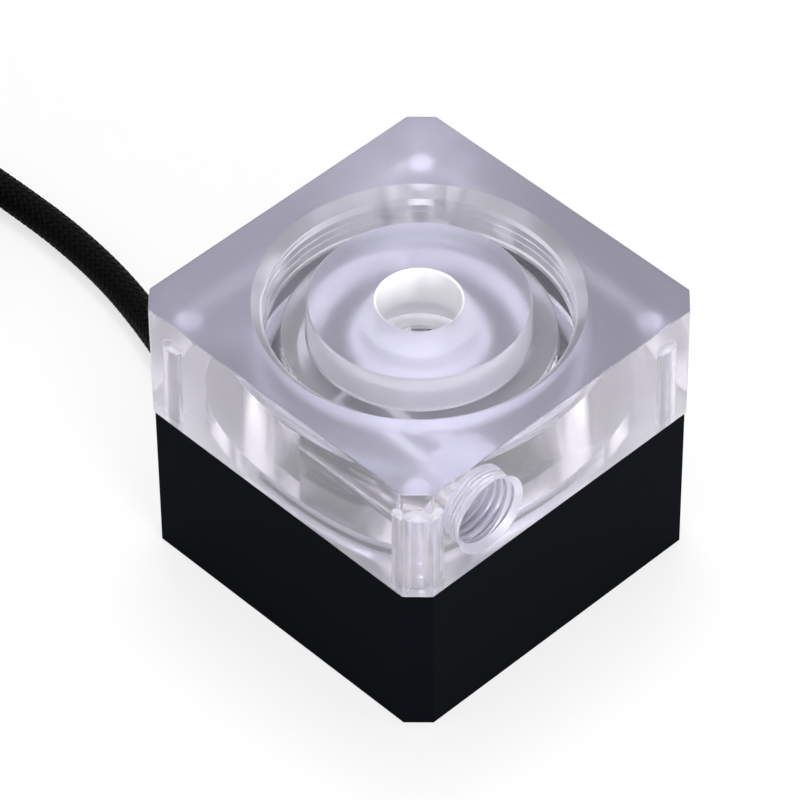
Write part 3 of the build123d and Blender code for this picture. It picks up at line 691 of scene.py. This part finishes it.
# %% Cable route
cord_radius = 2.8
core_radius = 2.5
cord_route = [
    (-26.0, -8.0, 7.9), (-40.0, -8.0, 7.9), (-51.0, -5.4, 5.0), (-62.5, -0.9, 2.9),
    (-75.0, 2.1, 2.8), (-88.5, 3.5, 2.8), (-101.0, 3.4, 2.9), (-112.0, 2.7, 3.4),
]
coil_x, coil_y, coil_z = -124.0, -30.4, 3.4
coil_steps = 16
# Angles in degrees with their radius, and for the climb the height too
coil_radii = [(90, 33.6), (385, 33.6), (450, 27.6), (745, 27.6), (810, 21.8), (900, 21.8)]
climb = [(920, 21.8, 6.2), (936, 24.8, 9.6), (950, 28.5, 9.4), (960, 28.5, 9.4)]


def coil_radius(angle):
    """The radius of the turns at an angle in degrees, between the values of coil_radii."""
    for (a, first), (b, second) in zip(coil_radii, coil_radii[1:]):
        if angle <= b:
            return first + (second - first) * (angle - a) / (b - a)


def coil_points():
    """Points round the turns, from the top of the ring inwards, then up onto them."""
    step = 360 / coil_steps
    first, last = coil_radii[0][0], coil_radii[-1][0]
    angles = [first + step * i for i in range(1, int((last - first) / step) + 1)]
    points = [(angle, coil_radius(angle), coil_z) for angle in angles] + climb
    placed = []
    for angle, radius, z in points:
        a = math.radians(angle)
        placed.append((coil_x + radius * math.cos(a), coil_y + radius * math.sin(a), z))
    return placed


route = [Vector(p) * mm for p in cord_route + coil_points()]
print("cable route", len(route), "points")

# %% [markdown]
# ### The core
# The spline becomes a mesh line once. Its points are the cable's path, give its length, and carry
# the strands. The core is kept as a mesh tube too, because a curve's box also counts the radius of
# its points.

# %% Cable core
curve = bpy.data.curves.new("cable_line", "CURVE")
curve.dimensions = "3D"
spline = curve.splines.new("NURBS")
spline.points.add(len(route) - 1)
for point, place in zip(spline.points, route):
    point.co = (*place, 1)
spline.order_u = 3
spline.use_endpoint_u = True
spline.resolution_u = 12
drawn = bpy.data.objects.new("cable_line", curve)
line = [v.co.copy() for v in bpy.data.meshes.new_from_object(drawn).vertices]
curve.bevel_depth = core_radius * mm
curve.bevel_resolution = 6
curve.use_fill_caps = True
cable = new_object("supply_cable_core", bpy.data.meshes.new_from_object(drawn))
bpy.data.objects.remove(drawn)
bpy.data.curves.remove(curve)
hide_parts("supply_cable", "cable_coil")
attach(cable, "pump")

# %% [markdown]
# ### The woven sleeve
# The sleeve is a plain weave on a tube. Each strand runs as a helix about the cable's line, and
# strands of the other hand cross it. A strand lies over at one row of crossings and under at the
# next, so one cosine of the length along the cable gives the weave. The tree duplicates the line,
# moves each copy's points out to its helix, and sweeps a flat strand along it.


# %% Braid tree
def braid_tree():
    number, whole = "NodeSocketFloat", "NodeSocketInt"
    tree = named_tree("woven_sleeve", [
        ("Radius", number, 0.0027), ("Pitch", number, 0.02), ("Strands", whole, 14),
        ("Hand", number, 1.0), ("Weave", number, 0.0001), ("Step", number, 0.0004),
        ("Width", number, 0.0008), ("Thickness", number, 0.0002),
        ("Material", "NodeSocketMaterial", None),
    ])
    nodes, link = tree.nodes, tree.links.new
    given = nodes.new("NodeGroupInput").outputs

    def value(operation, *inputs):
        node = nodes.new("ShaderNodeMath")
        node.operation = operation
        for socket, source in zip(node.inputs, inputs):
            if isinstance(source, (int, float)):
                socket.default_value = source
            else:
                link(source, socket)
        return node.outputs[0]

    def vector(operation, first, second=None, scale=None):
        node = nodes.new("ShaderNodeVectorMath")
        node.operation = operation
        link(first, node.inputs[0])
        if second is not None:
            link(second, node.inputs[1])
        if scale is not None:
            link(scale, node.inputs["Scale"])
        return node.outputs[0]

    as_curve = nodes.new("GeometryNodeMeshToCurve")
    link(given["Geometry"], as_curve.inputs["Mesh"])
    even = nodes.new("GeometryNodeResampleCurve")
    even.mode = "LENGTH"
    link(as_curve.outputs["Curve"], even.inputs["Curve"])
    link(given["Step"], even.inputs["Length"])
    copies = nodes.new("GeometryNodeDuplicateElements")
    copies.domain = "SPLINE"
    link(even.outputs["Curve"], copies.inputs["Geometry"])
    link(given["Strands"], copies.inputs["Amount"])
    along = nodes.new("GeometryNodeSplineParameter").outputs["Length"]
    turns = value("DIVIDE", along, given["Pitch"])
    share = value("DIVIDE", copies.outputs["Duplicate Index"], given["Strands"])
    angle = value("MULTIPLY", value("ADD", value("MULTIPLY", turns, given["Hand"]), share), math.tau)
    tangent = nodes.new("GeometryNodeInputTangent").outputs[0]
    normal = nodes.new("GeometryNodeInputNormal").outputs["Normal"]
    side_way = vector("CROSS_PRODUCT", tangent, normal)
    outward = vector(
        "ADD", vector("SCALE", normal, scale=value("COSINE", angle)),
        vector("SCALE", side_way, scale=value("SINE", angle)),
    )
    keep = nodes.new("GeometryNodeStoreNamedAttribute")
    keep.data_type, keep.domain = "FLOAT_VECTOR", "POINT"
    keep.inputs["Name"].default_value = "outward"
    link(copies.outputs["Geometry"], keep.inputs["Geometry"])
    link(outward, keep.inputs["Value"])
    read = nodes.new("GeometryNodeInputNamedAttribute")
    read.data_type = "FLOAT_VECTOR"
    read.inputs["Name"].default_value = "outward"
    rows = value("COSINE", value("MULTIPLY", value("MULTIPLY", turns, given["Strands"]), math.tau))
    lift = value("MULTIPLY", value("MULTIPLY", rows, given["Weave"]), given["Hand"])
    move = nodes.new("GeometryNodeSetPosition")
    link(keep.outputs["Geometry"], move.inputs["Geometry"])
    link(
        vector("SCALE", read.outputs["Attribute"], scale=value("ADD", given["Radius"], lift)),
        move.inputs["Offset"],
    )
    face_out = nodes.new("GeometryNodeSetCurveNormal")
    face_out.mode = "FREE"
    link(move.outputs["Geometry"], face_out.inputs["Curve"])
    link(read.outputs["Attribute"], face_out.inputs["Normal"])
    strand = nodes.new("GeometryNodeCurvePrimitiveQuadrilateral")
    link(given["Thickness"], strand.inputs["Width"])
    link(given["Width"], strand.inputs["Height"])
    sweep = nodes.new("GeometryNodeCurveToMesh")
    link(face_out.outputs["Curve"], sweep.inputs["Curve"])
    link(strand.outputs["Curve"], sweep.inputs["Profile Curve"])
    real = nodes.new("GeometryNodeRealizeInstances")
    link(sweep.outputs["Mesh"], real.inputs["Geometry"])
    paint = nodes.new("GeometryNodeSetMaterial")
    link(real.outputs["Geometry"], paint.inputs["Geometry"])
    link(given["Material"], paint.inputs["Material"])
    link(paint.outputs["Geometry"], nodes.new("NodeGroupOutput").inputs["Geometry"])
    return tree


# %% Braid
sleeve_fibre = grain(
    principled("sleeve_fibre", (0.001, 0.0012, 0.0016), Roughness=0.5, Specular_IOR_Level=0.05),
    3000, 0.1, roughness=(0.42, 0.58))
sleeve_core = grain(
    principled("sleeve_core", (0.002, 0.002, 0.003), Roughness=0.8, Specular_IOR_Level=0.02),
    1500, 0.2)
cable.data.materials.append(sleeve_core)
braid = {
    "Radius": (cord_radius - 0.2) * mm, "Pitch": 21 * mm, "Strands": 14, "Weave": 0.09 * mm,
    "Step": 0.375 * mm, "Width": 0.82 * mm, "Thickness": 0.18 * mm, "Material": sleeve_fibre,
}
braid_nodes = braid_tree()
for name, hand in (("sleeve_strands_right", 1.0), ("sleeve_strands_left", -1.0)):
    mesh = bpy.data.meshes.new(name)
    mesh.from_pydata(line, [(i, i + 1) for i in range(len(line) - 1)], [])
    woven = run_tree(new_object(name, mesh), braid_nodes, {**braid, "Hand": hand})
    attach(woven, "pump")
    print(name, len(woven.data.polygons), "faces")

# %% [markdown]
# ## Floor, backdrop and light
# A pale floor and large soft lamps. The camera and the clear plastic see a white surround, and so
# a ray counts as seen when it comes from the camera or through the plastic. The floor lies a hair
# under the pump.


# %% Rays that see the surround
def seen_rays(tree):
    """An output that is 1 for camera and transmission rays, and 0 for others."""
    rays = tree.nodes.new("ShaderNodeLightPath")
    either = tree.nodes.new("ShaderNodeMath")
    either.operation = "MAXIMUM"
    tree.links.new(rays.outputs["Is Camera Ray"], either.inputs[0])
    tree.links.new(rays.outputs["Is Transmission Ray"], either.inputs[1])
    return either.outputs[0]


# %% Floor
floor_reach, floor_foot, floor_top = 1500, -2, -0.02
floor_glow, paper_white = 0.7, 1.0
floor = prism("floor", [
    (-floor_reach, -floor_reach), (floor_reach, -floor_reach),
    (floor_reach, floor_reach), (-floor_reach, floor_reach),
], floor_foot, floor_top)
paper = principled("floor_paper", (0.8, 0.8, 0.82), Roughness=0.7)
floor.data.materials.append(paper)
nodes, link = paper.node_tree.nodes, paper.node_tree.links.new
glow = nodes.new("ShaderNodeEmission")
glow.inputs["Color"].default_value = (1, 1, 1, 1)
glow.inputs["Strength"].default_value = paper_white
blend = nodes.new("ShaderNodeMixShader")
seen = nodes.new("ShaderNodeMath")
seen.operation = "MULTIPLY"
seen.inputs[1].default_value = floor_glow
link(seen_rays(paper.node_tree), seen.inputs[0])
link(seen.outputs[0], blend.inputs["Fac"])
link(nodes["Principled BSDF"].outputs["BSDF"], blend.inputs[1])
link(glow.outputs["Emission"], blend.inputs[2])
link(blend.outputs["Shader"], nodes["Material Output"].inputs["Surface"])
print("floor", len(floor.data.polygons), "faces")

# %% World
lighting_white, seen_white = 0.75, 1.0
world = bpy.data.worlds.new("studio")
bpy.context.scene.world = world
world.use_nodes = True
sky, link = world.node_tree.nodes, world.node_tree.links.new
strength = sky.new("ShaderNodeMapRange")
strength.inputs["To Min"].default_value = lighting_white
strength.inputs["To Max"].default_value = seen_white
link(seen_rays(world.node_tree), strength.inputs["Value"])
sky["Background"].inputs["Color"].default_value = (1, 1, 1, 1)
link(strength.outputs["Result"], sky["Background"].inputs["Strength"])
print("world", world.name)


# %% Lamps
def lamp(name, place, size, power, target=(0, 0, 0.03)):
    """A square area lamp at a place in metres, aimed at the target."""
    data = bpy.data.lights.new(name, "AREA")
    data.shape, data.size, data.energy = "SQUARE", size, power
    obj = bpy.data.objects.new(name, data)
    obj.location = place
    obj.rotation_mode = "QUATERNION"
    obj.rotation_quaternion = (Vector(target) - obj.location).to_track_quat("-Z", "Y")
    bpy.context.collection.objects.link(obj)
    return obj


lamps = [
    lamp("key_lamp", (0.15, -0.15, 0.9), 0.4, 1.0),
    lamp("rim_lamp", (-0.2, 0.195, 0.85), 0.3, 3),
    lamp("side_lamp", (0.7, -0.2, 0.25), 0.3, 4),
]
print("lamps", [obj.name for obj in lamps])
